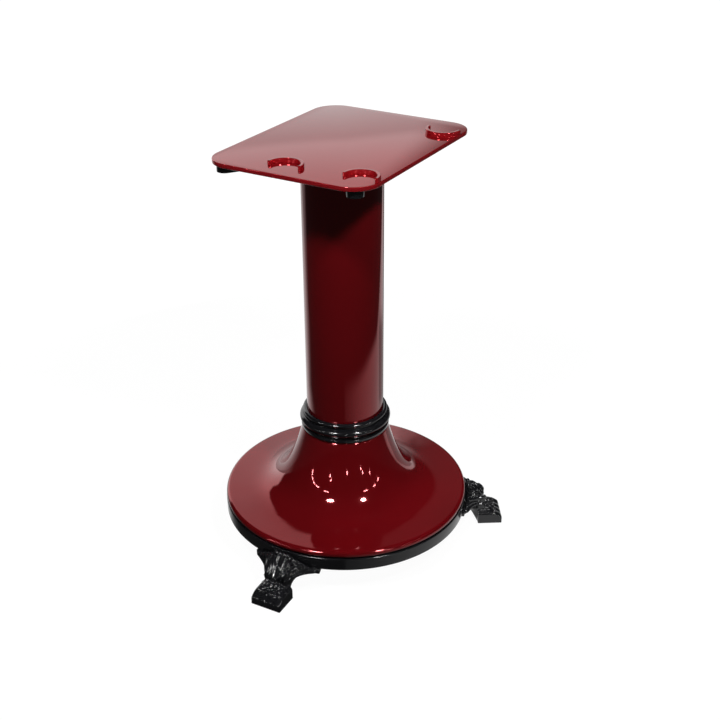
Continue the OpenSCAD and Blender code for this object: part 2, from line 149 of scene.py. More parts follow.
def finish(name, look):
    # colours are linear, scales are per metre, and bump heights are in mm
    material = bpy.data.materials.new(name)
    material.use_nodes = True
    tree = material.node_tree
    shader = tree.nodes["Principled BSDF"]
    shader.inputs["Metallic"].default_value = look.get("metallic", 0.0)
    shader.inputs["IOR"].default_value = 1.5
    patches = noiseTexture(tree, look["patchScale"], detail=3.0)
    colour = blended(tree, spread(tree, patches, 0.0, 1.0), look["colour"], look["otherColour"])
    if "litWallColour" in look:
        # painted light: upright faces are coloured a brighter red than level ones, standing in for the extra
        # light they catch
        split = addNode(tree, "ShaderNodeSeparateXYZ")
        tree.links.new(addNode(tree, "ShaderNodeNewGeometry").outputs["Normal"], split.inputs[0])
        level = mathNode(tree, "ABSOLUTE", split.outputs["Z"])
        colour = blended(tree, spread(tree, level, 1.0, 0.0, *look["litWallLevel"]), colour, look["litWallColour"])
    tree.links.new(colour, shader.inputs["Base Color"])
    smear = noiseTexture(tree, look["smearScale"], detail=4.0, roughness=0.6)
    tree.links.new(spread(tree, smear, *look["roughness"]), shader.inputs["Roughness"])
    normal = None
    for scale, height in look["bumps"]:
        normal = bumped(tree, noiseTexture(tree, scale, detail=1.0), height * mm, normal)
    tree.links.new(normal, shader.inputs["Normal"])
    return material


looks = {
    "redEnamel": {
        "colour": (0.230, 0.0045, 0.0080), "otherColour": (0.210, 0.0040, 0.0070), "patchScale": 6,
        "metallic": 0.4, "roughness": (0.035, 0.075), "smearScale": 30, "bumps": [(18, 0.06), (420, 0.0035)],
    },
    "redCastEnamel": {
        "colour": (0.235, 0.0048, 0.0085), "otherColour": (0.205, 0.0040, 0.0070), "patchScale": 7,
        "metallic": 0.4, "roughness": (0.035, 0.08), "smearScale": 24,
        "bumps": [(13, 0.5), (34, 0.15), (380, 0.004)],
    },
    "blackEnamel": {
        "colour": (0.007, 0.007, 0.008), "otherColour": (0.010, 0.010, 0.012), "patchScale": 20,
        "roughness": (0.10, 0.16), "smearScale": 50, "bumps": [(30, 0.05), (300, 0.0012)],
    },
    "blackCasting": {
        "colour": (0.006, 0.006, 0.007), "otherColour": (0.011, 0.011, 0.013), "patchScale": 30,
        "roughness": (0.12, 0.22), "smearScale": 90, "bumps": [(70, 0.20), (260, 0.02)],
    },
    "zincPlate": {
        "colour": (0.60, 0.61, 0.63), "otherColour": (0.50, 0.51, 0.52), "patchScale": 60, "metallic": 1.0,
        "roughness": (0.25, 0.42), "smearScale": 220, "bumps": [(900, 0.006)],
    },
    "blackOxide": {
        "colour": (0.035, 0.034, 0.036), "otherColour": (0.055, 0.052, 0.05), "patchScale": 80,
        "metallic": 0.7, "roughness": (0.32, 0.5), "smearScale": 260, "bumps": [(1100, 0.005)],
    },
    "bareSteel": {
        "colour": (0.42, 0.41, 0.40), "otherColour": (0.33, 0.32, 0.31), "patchScale": 25, "metallic": 1.0,
        "roughness": (0.28, 0.5), "smearScale": 160, "bumps": [(700, 0.008)],
    },
}
# the tube's coat for the plate and its locators, with painted light: upright faces get a brighter red that
# stands in for the light they catch;
# a face is fully a wall where the z of its normal is below the first level, and not at all above the second
looks["redPlateEnamelLitWalls"] = {
    **looks["redEnamel"], "litWallColour": (0.420, 0.0100, 0.0160), "litWallLevel": (0.35, 0.8),
}
paint = {name: finish(name, look) for name, look in looks.items()}
print("materials made:", len(paint))


# Geometry Nodes trees

def newTree(name, inputs):
    tree = bpy.data.node_groups.new(name, "GeometryNodeTree")
    tree.interface.new_socket(name="Geometry", in_out="INPUT", socket_type="NodeSocketGeometry")
    for title, kind, value in inputs:
        socket = tree.interface.new_socket(name=title, in_out="INPUT", socket_type="NodeSocket" + kind)
        if value is not None:
            socket.default_value = value
    tree.interface.new_socket(name="Geometry", in_out="OUTPUT", socket_type="NodeSocketGeometry")
    return tree, addNode(tree, "NodeGroupInput"), addNode(tree, "NodeGroupOutput")


def closeTree(tree, start, end, shape):
    # every tree ends in Realize Instances and Set Material
    real = addNode(tree, "GeometryNodeRealizeInstances")
    coat = addNode(tree, "GeometryNodeSetMaterial")
    tree.links.new(shape, real.inputs["Geometry"])
    tree.links.new(real.outputs["Geometry"], coat.inputs["Geometry"])
    tree.links.new(start.outputs["Finish"], coat.inputs["Material"])
    tree.links.new(coat.outputs["Geometry"], end.inputs["Geometry"])
    return tree


def turnedTree():
    # turns a closed outline, x as radius and z as height, round an upright axis
    tree, start, end = newTree("turnedPiece", [
        ("Segments", "Int", 256), ("Axis", "Vector", None), ("Finish", "Material", None)])
    links = tree.links
    size = addNode(tree, "GeometryNodeAttributeDomainSize", component="MESH")
    links.new(start.outputs["Geometry"], size.inputs["Geometry"])
    count = size.outputs["Point Count"]
    grid = addNode(tree, "GeometryNodeMeshGrid")
    links.new(plus(tree, start.outputs["Segments"], 1), grid.inputs["Vertices X"])
    links.new(count, grid.inputs["Vertices Y"])
    index = addNode(tree, "GeometryNodeInputIndex").outputs["Index"]
    column = mathNode(tree, "FLOOR", mathNode(tree, "DIVIDE", plus(tree, index, 0.5), count))
    row = minus(tree, index, times(tree, column, count))
    turn = mathNode(tree, "DIVIDE", times(tree, column, 2 * math.pi), start.outputs["Segments"])
    outline = addNode(tree, "GeometryNodeSampleIndex", data_type="FLOAT_VECTOR", domain="POINT")
    links.new(start.outputs["Geometry"], outline.inputs["Geometry"])
    links.new(addNode(tree, "GeometryNodeInputPosition").outputs["Position"], outline.inputs["Value"])
    links.new(row, outline.inputs["Index"])
    split = addNode(tree, "ShaderNodeSeparateXYZ")
    links.new(outline.outputs["Value"], split.inputs[0])
    place = addNode(tree, "ShaderNodeCombineXYZ")
    links.new(times(tree, split.outputs["X"], mathNode(tree, "COSINE", turn)), place.inputs["X"])
    links.new(times(tree, split.outputs["X"], mathNode(tree, "SINE", turn)), place.inputs["Y"])
    links.new(split.outputs["Z"], place.inputs["Z"])
    shift = addNode(tree, "ShaderNodeVectorMath", operation="ADD")
    links.new(place.outputs["Vector"], shift.inputs[0])
    links.new(start.outputs["Axis"], shift.inputs[1])
    bend = addNode(tree, "GeometryNodeSetPosition")
    links.new(grid.outputs["Mesh"], bend.inputs["Geometry"])
    links.new(shift.outputs["Vector"], bend.inputs["Position"])
    weld = addNode(tree, "GeometryNodeMergeByDistance")
    weld.inputs["Distance"].default_value = 2 * mergeGap
    links.new(bend.outputs["Geometry"], weld.inputs["Geometry"])
    return closeTree(tree, start, end, weld.outputs["Geometry"])


def thickAttribute(tree):
    thick = addNode(tree, "GeometryNodeInputNamedAttribute", data_type="FLOAT")
    thick.inputs["Name"].default_value = "thick"
    return thick.outputs["Attribute"]


def strandTree():
    # tapered round strands along the edges of a mesh, as thick as its "thick" attribute
    tree, start, end = newTree("carvedStrands", [("Sides", "Int", 10), ("Finish", "Material", None)])
    links = tree.links
    path = addNode(tree, "GeometryNodeMeshToCurve")
    ring = addNode(tree, "GeometryNodeCurvePrimitiveCircle", mode="RADIUS")
    ring.inputs["Radius"].default_value = 1.0
    skin = addNode(tree, "GeometryNodeCurveToMesh")
    skin.inputs["Fill Caps"].default_value = True
    links.new(start.outputs["Geometry"], path.inputs["Mesh"])
    links.new(start.outputs["Sides"], ring.inputs["Resolution"])
    links.new(path.outputs["Curve"], skin.inputs["Curve"])
    links.new(ring.outputs["Curve"], skin.inputs["Profile Curve"])
    links.new(thickAttribute(tree), skin.inputs["Scale"])
    return closeTree(tree, start, end, skin.outputs["Mesh"])


def beadTree():
    # a bead on every point of a mesh, as big as its "thick" attribute
    tree, start, end = newTree("carvedBeads", [("Detail", "Int", 3), ("Finish", "Material", None)])
    links = tree.links
    ball = addNode(tree, "GeometryNodeMeshIcoSphere")
    ball.inputs["Radius"].default_value = 1.0
    points = addNode(tree, "GeometryNodeMeshToPoints")
    beads = addNode(tree, "GeometryNodeInstanceOnPoints")
    links.new(start.outputs["Detail"], ball.inputs["Subdivisions"])
    links.new(start.outputs["Geometry"], points.inputs["Mesh"])
    links.new(points.outputs["Points"], beads.inputs["Points"])
    links.new(ball.outputs["Mesh"], beads.inputs["Instance"])
    links.new(thickAttribute(tree), beads.inputs["Scale"])
    return closeTree(tree, start, end, beads.outputs["Instances"])


def throughTree(obj, tree, values):
    # runs a tree on the object and leaves the result as its plain mesh
    step = obj.modifiers.new(tree.name, "NODES")
    step.node_group = tree
    for socket in tree.interface.items_tree:
        if socket.item_type == "SOCKET" and socket.in_out == "INPUT" and socket.name in values:
            step[socket.identifier] = values[socket.name]
    return bakeModifiers(obj)


def bakeModifiers(obj):
    graph = bpy.context.evaluated_depsgraph_get()
    made = bpy.data.meshes.new_from_object(obj.evaluated_get(graph), depsgraph=graph)
    made.name = obj.name
    obj.modifiers.clear()
    obj.data = made
    return obj


turned, strands, beads = turnedTree(), strandTree(), beadTree()


# Meshes

def newObject(name, mesh):
    obj = bpy.data.objects.new(name, mesh)
    bpy.context.scene.collection.objects.link(obj)
    return obj


def newPiece(name, bm):
    mesh = bpy.data.meshes.new(name)
    bm.to_mesh(mesh)
    bm.free()
    return newObject(name, mesh)


def lineMesh(name, lines):
    # points and edges, one run of edges for each line of (place, thickness)
    mesh = bpy.data.meshes.new(name)
    places, edges, thick = [], [], []
    for line in lines:
        edges += [(len(places) + i, len(places) + i + 1) for i in range(len(line) - 1)]
        places += [p for p, t in line]
        thick += [t for p, t in line]
    mesh.from_pydata(places, edges, [])
    mesh.attributes.new("thick", "FLOAT", "POINT").data.foreach_set("value", thick)
    return mesh


def smoothed(obj, sharp=None):
    # smooth all over, but for edges past the sharp angle in degrees
    for face in obj.data.polygons:
        face.use_smooth = True
    if sharp:
        obj.data.set_sharp_from_angle(angle=math.radians(sharp))


def tidyNormals(obj, sharp):
    # own meshes only: merges doubles, turns faces outwards, smooths below the sharp angle
    bm = bmesh.new()
    bm.from_mesh(obj.data)
    bmesh.ops.remove_doubles(bm, verts=bm.verts, dist=mergeGap)
    bmesh.ops.recalc_face_normals(bm, faces=bm.faces)
    bm.to_mesh(obj.data)
    bm.free()
    smoothed(obj, sharp)


def handIn(obj, coat, node):
    if not obj.data.materials:
        obj.data.materials.append(paint[coat])
    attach(obj, "root")
    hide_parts(node)
    print(obj.name, "has", sum(len(p.vertices) - 2 for p in obj.data.polygons), "triangles")


# Turned pieces: tube, collar, flared base

def arc(x, z, r, first, last, count):
    turns = [math.radians(first + (last - first) * i / count) for i in range(count + 1)]
    return [(x + r * math.cos(t), z + r * math.sin(t)) for t in turns]


def softCorner(points, r, count=4):
    # rounds every corner of a closed outline of straight sides
    out = []
    for i, point in enumerate(points):
        here = Vector(point)
        toLast = (Vector(points[i - 1]) - here).normalized()
        toNext = (Vector(points[(i + 1) % len(points)]) - here).normalized()
        a, b = here + toLast * r, here + toNext * r
        for k in range(count + 1):
            u = k / count
            out.append(tuple(a * (1 - u) ** 2 + here * 2 * u * (1 - u) + b * u * u))
    return out


def turnPiece(name, outline, z, coat, size):
    closed = list(outline) + [outline[0]]
    mesh = lineMesh(name, [[((r * mm, 0, h * mm), 0.0) for r, h in closed]])
    obj = throughTree(newObject(name, mesh), turned, {
        "Segments": size["segments"], "Axis": (axisX, axisY, z), "Finish": paint[coat]})
    tidyNormals(obj, size["sharp"])
    return obj


tube = {"wall": 4, "edge": 0.6, "segments": 256, "sharp": 35}


def tubeOutline(t):
    inner, height = tubeR - t["wall"], (tubeHigh.z - tubeLow.z) / mm
    return softCorner([(inner, 0), (tubeR, 0), (tubeR, height), (inner, height)], t["edge"])


handIn(turnPiece("columnTube", tubeOutline(tube), tubeLow.z, "redEnamel", tube),
       "redEnamel", "column_tube")

collar = {
    # in mm: what ends in Out is measured outwards from the tube's skin, heights from the collar's foot
    "gap": 0.3, "footChamfer": 0.5, "topChamfer": 0.6, "core": 5, "segments": 256, "sharp": 38,
    "lipOut": 11.6, "lipH": 5.2, "lipEdge": 0.7, "lipSteps": 4, "lipSoft": 0.5, "lipRise": 1.6,
    "lipBack": (3.2, 5.0),
    "beadOut": 14.2, "beadR": 8.2, "beadZ": 18, "beadSteps": 28, "fillet": 0.9,
    "topBeadOut": 8, "topBeadR": 4.6, "topBeadSteps": 18, "groove": (0.5, 0.4), "grooveLift": 0.2,
}
collarLow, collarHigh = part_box("collar")


def collarOutline(c):
    # the bore, then up the outside: lip, large bead, small bead, with fillets in the grooves
    height = (collarHigh.z - collarLow.z) / mm
    bore, core = tubeR + c["gap"], tubeR + c["core"]
    beadX, topX = (tubeR + c[k + "Out"] - c[k + "R"] for k in ("bead", "topBead"))
    lipX, topZ = tubeR + c["lipOut"], height - c["topBeadR"]
    out = [(bore, height - c["topChamfer"]), (bore, c["footChamfer"]), (bore + c["footChamfer"], 0)]
    out += arc(lipX - c["lipEdge"], c["lipEdge"], c["lipEdge"], -90, 0, c["lipSteps"])
    out += [(lipX, c["lipH"] - c["lipSoft"])]
    out += [(lipX - back, c["lipH"] + (i + 1) * c["lipRise"]) for i, back in enumerate(c["lipBack"])]
    foot = math.degrees(math.acos((core - beadX + c["fillet"]) / c["beadR"]))
    out += arc(beadX, c["beadZ"], c["beadR"], -foot, foot, c["beadSteps"])
    grooveX = core + c["groove"][0]
    rise = math.sqrt(c["beadR"] ** 2 - (grooveX - beadX) ** 2)
    out += [(grooveX, c["beadZ"] + rise + c["grooveLift"])]
    lower = -math.degrees(math.acos((core + c["groove"][1] - topX) / c["topBeadR"]))
    out += arc(topX, topZ, c["topBeadR"], lower, 90, c["topBeadSteps"])
    out += [(bore + c["topChamfer"], height)]
    return out


handIn(turnPiece("collar", collarOutline(collar), collarLow.z, "blackEnamel", collar),
       "blackEnamel", "collar")

flare = {
    "ledge": 9, "neckRound": 3, "neckSteps": 8, "power": 4.4, "steps": 72,
    "edgeSlope": 0.06, "edgeT": 15, "edgeSteps": 20, "wall": 8, "wallStep": 0.5, "deckT": 14,
    "spigotR": 30.3, "blockIn": 4, "ringW": 31.5, "rise": 0.5, "segments": 320, "sharp": 35,
}
flareLow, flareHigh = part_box("flared_base")


def flareOutline(f):
    # the bell's curve falls by a power law from the neck and ends in a full round edge
    height = (flareHigh.z - flareLow.z) / mm
    edge = (flareHigh.x - flareLow.x) / 2 / mm
    neckR, neckRound, edgeRound = tubeR + f["ledge"], f["neckRound"], f["edgeT"] / 2
    rim = edge - edgeRound
    span = rim - neckR
    drop = height - f["edgeT"] - f["edgeSlope"] * span

    def top(r):
        return f["edgeT"] + f["edgeSlope"] * (rim - r) + drop * (1 - (r - neckR) / span) ** f["power"]

    def fall(r):
        return f["edgeSlope"] + drop * f["power"] / span * (1 - (r - neckR) / span) ** (f["power"] - 1)

    # the outside, with its points closer together towards the neck
    outer = []
    for i in range(1, f["steps"]):
        u = i / f["steps"]
        r = rim + (neckR - rim) * u * (2 - u)
        if top(r) < height - neckRound:
            outer.append((r, top(r)))

    # the inside, one wall in from the outside, from the deck out to the block that meets the ring
    block = edge + f["rise"] - f["ringW"] + f["blockIn"]
    deck = height - f["deckT"]
    under = []
    for i in range(f["steps"]):
        r = neckR + (block - neckR) * i / f["steps"]
        slope = math.hypot(1, fall(r))
        x, z = r - f["wall"] * fall(r) / slope, top(r) - f["wall"] / slope
        if z < deck and x < block:
            under.append((x, z))
    return ([(f["spigotR"], deck), (f["spigotR"], height), (neckR - neckRound, height)]
            + arc(neckR - neckRound, height - neckRound, neckRound, 90, 0, f["neckSteps"])[1:]
            + outer[::-1] + arc(rim, edgeRound, edgeRound, 90, -90, f["edgeSteps"])
            + [(block, 0), (block, top(block) - f["wall"])] + under[::-1]
            + [(under[0][0] - f["wallStep"], deck)])


handIn(turnPiece("flaredBase", flareOutline(flare), flareLow.z, "redCastEnamel", flare),
       "redCastEnamel", "flared_base")
print("turned pieces made")


# Top plate and its half-ring locators

plate = {"cornerR": 50, "edge": 1.3, "arcSteps": 28, "edgeSteps": 4, "sharp": 40}
plateLow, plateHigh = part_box("top_plate")


def roundPlate(p):
    # loops of points with round corners, one above the other, drawn in where the edges are rounded
    width, length, height = ((high - low) / mm for low, high in zip(plateLow, plateHigh))
    middle = Vector(((plateLow.x + plateHigh.x) / 2, (plateLow.y + plateHigh.y) / 2, plateLow.z))
    rings = []
    for k in range(p["edgeSteps"] + 1):
        t = math.radians(90 * k / p["edgeSteps"])
        rings.append((p["edge"] * (1 - math.sin(t)), p["edge"] * (1 - math.cos(t))))
    bm = bmesh.new()
    loops = []
    for inset, z in rings + [(inset, height - z) for inset, z in rings[::-1]]:
        loop = []
        for sx, sy, first in ((1, 1, 0), (-1, 1, 90), (-1, -1, 180), (1, -1, 270)):
            cx, cy = sx * (width / 2 - p["cornerR"]), sy * (length / 2 - p["cornerR"])
            for x, y in arc(cx, cy, p["cornerR"] - inset, first, first + 90, p["arcSteps"]):
                loop.append(bm.verts.new(middle + Vector((x, y, z)) * mm))
        loops.append(loop)
    for low, high in zip(loops, loops[1:]):
        for i in range(len(low)):
            j = (i + 1) % len(low)
            bm.faces.new((low[i], low[j], high[j], high[i]))
    bm.faces.new(loops[0][::-1])
    bm.faces.new(loops[-1])
    obj = newPiece("topPlate", bm)
    tidyNormals(obj, p["sharp"])
    handIn(obj, "redPlateEnamelLitWalls", "top_plate")


roundPlate(plate)

locator = {
    "wall": 6, "tail": 2, "steps": 56, "sharp": 40,
    # edges that turn by more than bevelFrom, in radians, get rounded, but for those on the plate's face
    "edge": 1.2, "edgeSteps": 3, "bevelFrom": 0.7, "clear": 0.1,
}


def halfRing(name, node, opensBack):
    low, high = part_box(node)
    outer = (high.x - low.x) / 2 / mm
    inner, height = outer - locator["wall"], (high.z - low.z) / mm
    side = -1 if opensBack else 1
    centreX = (low.x + high.x) / 2
    centreY = low.y + outer * mm if opensBack else high.y - outer * mm
    bm = bmesh.new()
    rows = []
    for i in range(locator["steps"] + 1):
        row = []
        for r, z in ((inner, 0), (outer, 0), (outer, height), (inner, height)):
            first = -math.asin(locator["tail"] / r)
            t = first + (math.pi - 2 * first) * i / locator["steps"]
            row.append(bm.verts.new((centreX + r * math.cos(t) * mm, centreY + side * r * math.sin(t) * mm,
                                     low.z + z * mm)))
        rows.append(row)
    for a, b in zip(rows, rows[1:]):
        for k in range(4):
            j = (k + 1) % 4
            bm.faces.new((a[k], a[j], b[j], b[k]))
    bm.faces.new(rows[0])
    bm.faces.new(rows[-1])
    bmesh.ops.recalc_face_normals(bm, faces=bm.faces)
    above = low.z + locator["clear"] * mm
    edges = [e for e in bm.edges
             if e.calc_face_angle(0) > locator["bevelFrom"] and max(v.co.z for v in e.verts) > above]
    bmesh.ops.bevel(bm, geom=edges, offset=locator["edge"] * mm, segments=locator["edgeSteps"],
                    profile=0.5, affect="EDGES", clamp_overlap=True)
    obj = newPiece(name, bm)
    tidyNormals(obj, locator["sharp"])
    handIn(obj, "redPlateEnamelLitWalls", node)


halfRing("locatorFrontLeft", "locator_front_left", False)
halfRing("locatorFrontRight", "locator_front_right", False)
halfRing("locatorBackRight", "locator_back_right", True)
print("plate and locators made")


# Cast pieces that keep the CAD shape and get rounded edges

bracket = {"edge": 1.6, "bevelFrom": 40, "coat": "blackCasting"}
ring = {"edge": 0.8, "bevelFrom": 30, "coat": "blackEnamel"}
casting = {"flat": 1, "segments": 3, "sharp": 32}  # faces that turn by less than flat degrees are joined


def castCopy(name, node, size):
    obj = newObject(name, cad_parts[node].data.copy())
    obj.data.materials.clear()
    bm = bmesh.new()
    bm.from_mesh(obj.data)
    bmesh.ops.remove_doubles(bm, verts=bm.verts, dist=mergeGap)
    bmesh.ops.dissolve_limit(bm, angle_limit=math.radians(casting["flat"]), verts=bm.verts, edges=bm.edges)
    bm.to_mesh(obj.data)
    bm.free()
    bevel = obj.modifiers.new("edges", "BEVEL")
    bevel.width = size["edge"] * mm
    bevel.segments = casting["segments"]
    bevel.limit_method = "ANGLE"
    bevel.angle_limit = math.radians(size["bevelFrom"])
    bakeModifiers(obj)
    smoothed(obj, casting["sharp"])
    handIn(obj, size["coat"], node)


castCopy("topBracket", "top_bracket", bracket)
castCopy("baseRing", "base_ring", ring)
print("bracket and ring made")


# Paw feet: the CAD foot is the blank, the carving is laid on it, and all is fused by a voxel remesh

foot = {
    # all in mm, with the foot turned to lie along x and the column's axis at x 0
    "angles": {"foot_front": -87.5, "foot_right": 32.5, "foot_left": 152.5},
    "voxel": 0.8, "smoothing": 1,
    # the blank is softened fully at the toes and by a share at the leg, each from where to where outwards
    "blankVoxel": 1.3, "softening": 36, "toeFrom": (298, 308), "legFrom": (252, 262), "legShare": 0.55,
    "sole": 1.0,
    # the leg's top slopes down outwards: distance from the axis, height there, fall in the middle and at
    # the sides, how far off the middle the one turns into the other, and how much is cut and where it ends
    "topSlope": (250, 81.5, 1.04, 0.68), "lobeY": (3, 17), "topCut": 0.9, "legEnd": 291,
    # a leaf fan from the ankle to the ring, its middle first and its outer edge last
    "fanRoot": ((291, 2, 33), (285, 19, 29)), "fanBend": ((277, 4, 68), (266, 21, 50)),
    "fanTipY": (3, 63), "fanTipR": 251.5, "fanTipZ": (77, 52), "fanFall": 1.6, "lineSteps": 20,
    # lines of the fan by their share of its width, and their thickness at the root, the middle and the tip
    "web": 16, "webThick": (3.2, 3.6, 2.9), "webUnder": 2.2,
    "ribs": (0.34, 0.66, 0.98), "ribThick": (1.7, 3.2, 3.8), "ribOut": 0.7,
    "veins": (0.12, 0.50, 0.82), "veinThick": (0.8, 1.8, 2.6), "veinFrom": 0.42,
    # beads: a row is x, half its width, how many and their radius, and the crown's has its height after x
    "crownRow": (255, 79.5, 13, 4, 4.2), "knob": ((270, 0, 59), 4.2), "sunk": 0.1,
    "pawRows": [(293.5, 21, 6, 3.6), (300.5, 17, 5, 3.2), (308.5, 22, 6, 3.4)],
    # above this height nothing reaches inside the base ring
    "ringR": 246.1, "ringLow": 56.2,
}
outward = Vector((0.86, 0, 0.51))  # the way the leaf's face looks


def footPlace(angle):
    turn = Matrix.Rotation(math.radians(angle), 4, "Z")
    return Matrix.Translation((axisX, axisY, 0)) @ turn @ Matrix.Scale(mm, 4)


def footBlank():
    bm = bmesh.new()
    bm.from_mesh(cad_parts["foot_front"].data)
    bmesh.ops.remove_doubles(bm, verts=bm.verts, dist=mergeGap)
    bmesh.ops.transform(bm, matrix=footPlace(foot["angles"]["foot_front"]).inverted(), verts=bm.verts)
    return bm


def between(ends, share):
    return ends[0] + (ends[1] - ends[0]) * share


def shareOf(value, low, high):
    return max(0.0, min(1.0, (value - low) / (high - low)))


def fanLine(k, side, thick, under=0.0, first=0.0):
    # one line of the fan, k from 0 at the middle to 1 at the edge, as a bent line of (place, thickness)
    root, bend = (Vector(foot[part][0]).lerp(Vector(foot[part][1]), k) for part in ("fanRoot", "fanBend"))
    tipY, tipZ = between(foot["fanTipY"], k), between(foot["fanTipZ"], k ** foot["fanFall"])
    tip = Vector((math.sqrt(foot["fanTipR"] ** 2 - tipY ** 2), tipY, tipZ))
    atRoot, atMiddle, atTip = thick
    line = []
    for i in range(foot["lineSteps"] + 1):
        share = i / foot["lineSteps"]
        rest = 1 - share
        u = first + (1 - first) * share
        place = root * (1 - u) ** 2 + bend * 2 * u * (1 - u) + tip * u * u - outward * under
        size = atRoot * rest ** 2 + (4 * atMiddle - atRoot - atTip) * share * rest + atTip * share ** 2
        line.append((Vector((place.x, side * place.y, place.z)), size))
    return line


def webLines():
    return [fanLine(k / (foot["web"] - 1), side, foot["webThick"], foot["webUnder"])
            for side in (-1, 1) for k in range(foot["web"])]


def beadRow(x, half, count):
    return [(x, -half + 2 * half * i / (count - 1)) for i in range(count)]


def carvingLines(skin, leafAway=60, pawAway=120):
    # ribs and beads are laid on the blank's own skin, found by rays that start well away from it, in mm
    lines, dots = [], []
    for side in (-1, 1):
        for shares, thick, first in ((foot["ribs"], foot["ribThick"], 0.0),
                                     (foot["veins"], foot["veinThick"], foot["veinFrom"])):
            for k in shares:
                line = []
                for place, size in fanLine(k, side, thick, first=first):
                    found = skin.ray_cast(place + outward * leafAway, -outward.normalized())[0]
                    line.append(((found or place) + outward * foot["ribOut"], size))
                lines.append(line)
    x, z, half, count, size = foot["crownRow"]
    dots += [(Vector((x, y, z)), size) for x, y in beadRow(x, half, count)]
    dots.append((Vector(foot["knob"][0]), foot["knob"][1]))
    for row in foot["pawRows"]:
        size = row[-1]
        for x, y in beadRow(*row[:-1]):
            place = skin.ray_cast(Vector((x, y, pawAway)), Vector((0, 0, -1)))[0]
            if place is not None:
                dots.append((place - Vector((0, 0, size * foot["sunk"])), size))
    return lines, dots


def fused(name, bm, voxel, rounds, softShare=None):
    # one closed skin round all that is in the mesh, softened all over or by each point's share
    obj = newPiece(name, bm)
    remesh = obj.modifiers.new("fuse", "REMESH")
    remesh.mode = "VOXEL"
    remesh.voxel_size = voxel
    bakeModifiers(obj)
    smooth = obj.modifiers.new("soften", "SMOOTH")
    smooth.factor = 0.5
    smooth.iterations = rounds
    if softShare:
        part = obj.vertex_groups.new(name="soft")
        for v in obj.data.vertices:
            part.add([v.index], softShare(v.co), "REPLACE")
        smooth.vertex_group = "soft"
    bakeModifiers(obj)
    return obj


def laid(bm, name, tree, lines):
    # adds what a tree makes of the lines to the mesh in work
    part = throughTree(newObject(name, lineMesh(name, lines)), tree, {"Finish": paint["blackCasting"]})
    bm.from_mesh(part.data)
    bpy.data.objects.remove(part)


def blankShare(co):
    # how much of the softening a point of the blank takes
    if co.z < foot["sole"]:
        return 0.0
    toe, leg = shareOf(co.x, *foot["toeFrom"]), shareOf(math.hypot(co.x, co.y), *foot["legFrom"])
    return max(toe, leg * foot["legShare"])


def slopeTop(mesh):
    fromR, fromZ, *falls = foot["topSlope"]
    for v in mesh.vertices:
        share = shareOf(abs(v.co.y), *foot["lobeY"])
        fall = between(falls, share * share * (3 - 2 * share))
        over = v.co.z - (fromZ - fall * (math.hypot(v.co.x, v.co.y) - fromR))
        if over > 0 and v.co.x < foot["legEnd"]:
            v.co.z -= foot["topCut"] * over


def carvedFoot():
    # the blank and the fan's web are fused and softened first, then ribs and beads are laid on and fused
    bm = footBlank()
    laid(bm, "web", strands, webLines())
    softer = fused("softBlank", bm, foot["blankVoxel"], foot["softening"], blankShare)
    slopeTop(softer.data)
    bm = bmesh.new()
    bm.from_mesh(softer.data)
    bpy.data.objects.remove(softer)
    lines, dots = carvingLines(BVHTree.FromBMesh(bm))
    laid(bm, "ribs", strands, lines)
    laid(bm, "beads", beads, [[dot] for dot in dots])
    obj = fused("carvedFoot", bm, foot["voxel"], foot["smoothing"])
    for v in obj.data.vertices:
        r = math.hypot(v.co.x, v.co.y)
        if v.co.z > foot["ringLow"] and r < foot["ringR"]:
            v.co.x *= foot["ringR"] / r
            v.co.y *= foot["ringR"] / r
        v.co.z = max(0.0, v.co.z)
    return obj


carved = carvedFoot()
for node, angle in foot["angles"].items():
    name = "paw" + node.split("_")[1].capitalize()
    obj = newObject(name, carved.data.copy())
    obj.data.transform(footPlace(angle))
    obj.data.materials.clear()
    smoothed(obj)
    handIn(obj, "blackCasting", node)
bpy.data.objects.remove(carved)
print("feet made")


# Screws, bolts, washers and flanges keep their CAD shape

hardware = {
    "plate_screws": "blackOxide", "bracket_screws": "blackOxide", "ring_screws": "blackOxide",
    "column_bolts": "zincPlate", "column_bolt_washers": "zincPlate",
    "foot_bolts": "zincPlate", "foot_bolt_washers": "zincPlate",
    "column_head_flange": "bareSteel", "column_foot_flange": "bareSteel",
}
for node, coat in hardware.items():
    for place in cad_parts[node].material_slots:
        place.material = paint[coat]
print("screws, bolts and flanges painted")


# Camera and lamps

view = {
    # turn is the camera's bearing round the column, in degrees
    "eye": (1.02907, -1.65331, 1.4251), "look": (0.0320, 0.05405, 0.3774), "lens": 57.25, "sensor": 36,
    "roll": -0.30, "turn": 30.28,
}
lamps = [
    # degrees round from the camera's side to its right, height in degrees, distance, width and height in
    # metres, and the height it points at; light is what a white face turned to it there sends back.
    # The first two show only in gloss, and the others only light the faces
    {"turn": -28.9, "rise": 37.8, "far": 8, "size": (1.35, 0.70), "at": 0.4, "light": 0.65, "seen": "gloss"},
    {"turn": 32.4, "rise": 37.4, "far": 8, "size": (0.95, 0.85), "at": 0.4, "light": 0.65, "seen": "gloss"},
    {"turn": -28.9, "rise": 54, "far": 2.2, "size": (0.25, 0.25), "at": 0.6, "light": 0.50, "seen": "faces"},
    {"turn": 32.4, "rise": 47, "far": 2.2, "size": (0.25, 0.25), "at": 0.6, "light": 0.50, "seen": "faces"},
    {"turn": 110, "rise": 76, "far": 5, "size": (1.8, 1.8), "at": 0.6, "light": 0.32, "seen": "faces"},
]


def aim(obj, target):
    turn = (Vector(target) - obj.location).to_track_quat("-Z", "Y")
    obj.rotation_mode = "QUATERNION"
    obj.rotation_quaternion = turn


def toward(turn, rise):
    a, e = math.radians(view["turn"] + turn), math.radians(rise)
    return Vector((math.sin(a) * math.cos(e), -math.cos(a) * math.cos(e), math.sin(e)))


